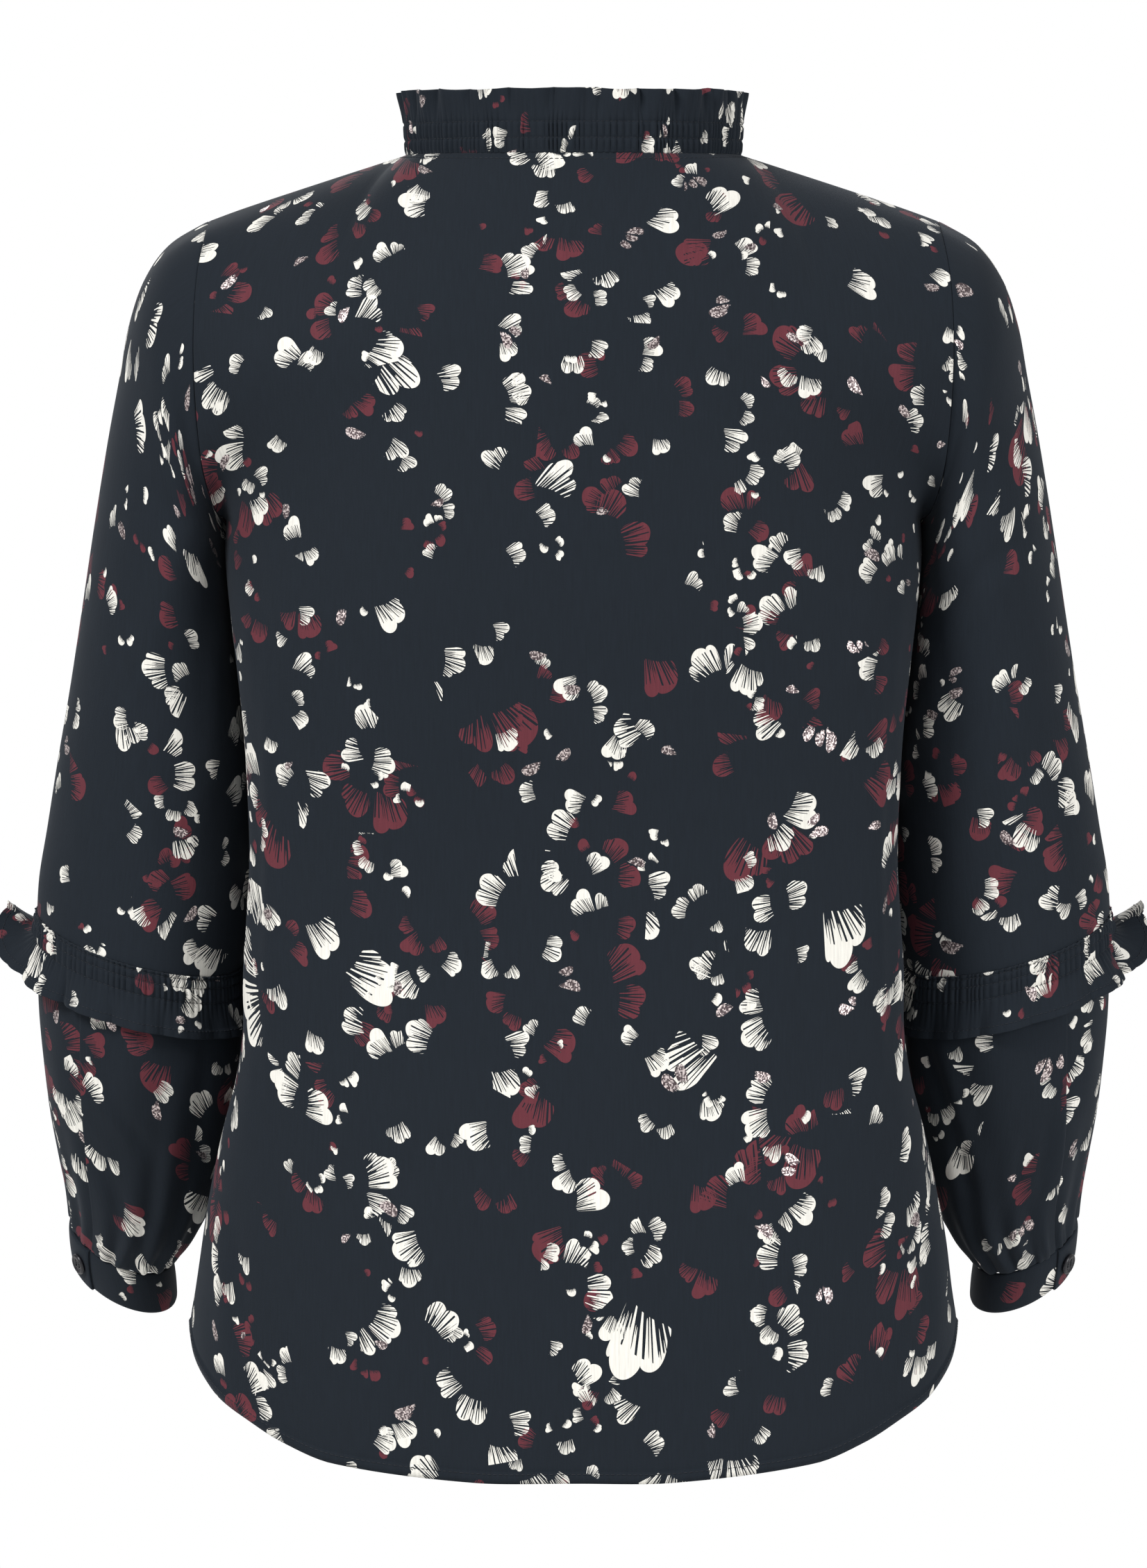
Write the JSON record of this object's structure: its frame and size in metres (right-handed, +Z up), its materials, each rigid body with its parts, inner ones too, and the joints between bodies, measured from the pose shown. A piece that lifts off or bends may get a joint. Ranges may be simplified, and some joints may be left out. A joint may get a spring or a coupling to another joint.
{
  "type": "blouse",
  "caption": "Pull-over blouse in its worn, hollow shape, with a standing shirred collar, ruffles at the elbows, gathered buttoned cuffs and a curved hem.",
  "frame": {"origin": "the middle of the neckline opening at shoulder height, where the wearer's shoulders hold the blouse", "axes": "+Z up; +Y towards the back of the garment, whose front faces -Y; +X towards the wearer's left"},
  "size_m": [0.6664, 0.2953, 0.799],
  "materials": {
    "cloth": "matt woven crepe, dark navy with a scattered petal print",
    "button": "dark moulded resin, satin"
  },
  "bodies": {
    "root": {"back": "cloth", "front": "cloth", "collar": "cloth", "sleeve_upper_L": "cloth", "sleeve_upper_R": "cloth", "sleeve_ruffle_L": "cloth", "sleeve_ruffle_R": "cloth", "sleeve_lower_L": "cloth", "sleeve_lower_R": "cloth", "cuff_L": "cloth", "cuff_R": "cloth", "button_L": "button", "button_R": "button"}
  },
  "joints": []
}
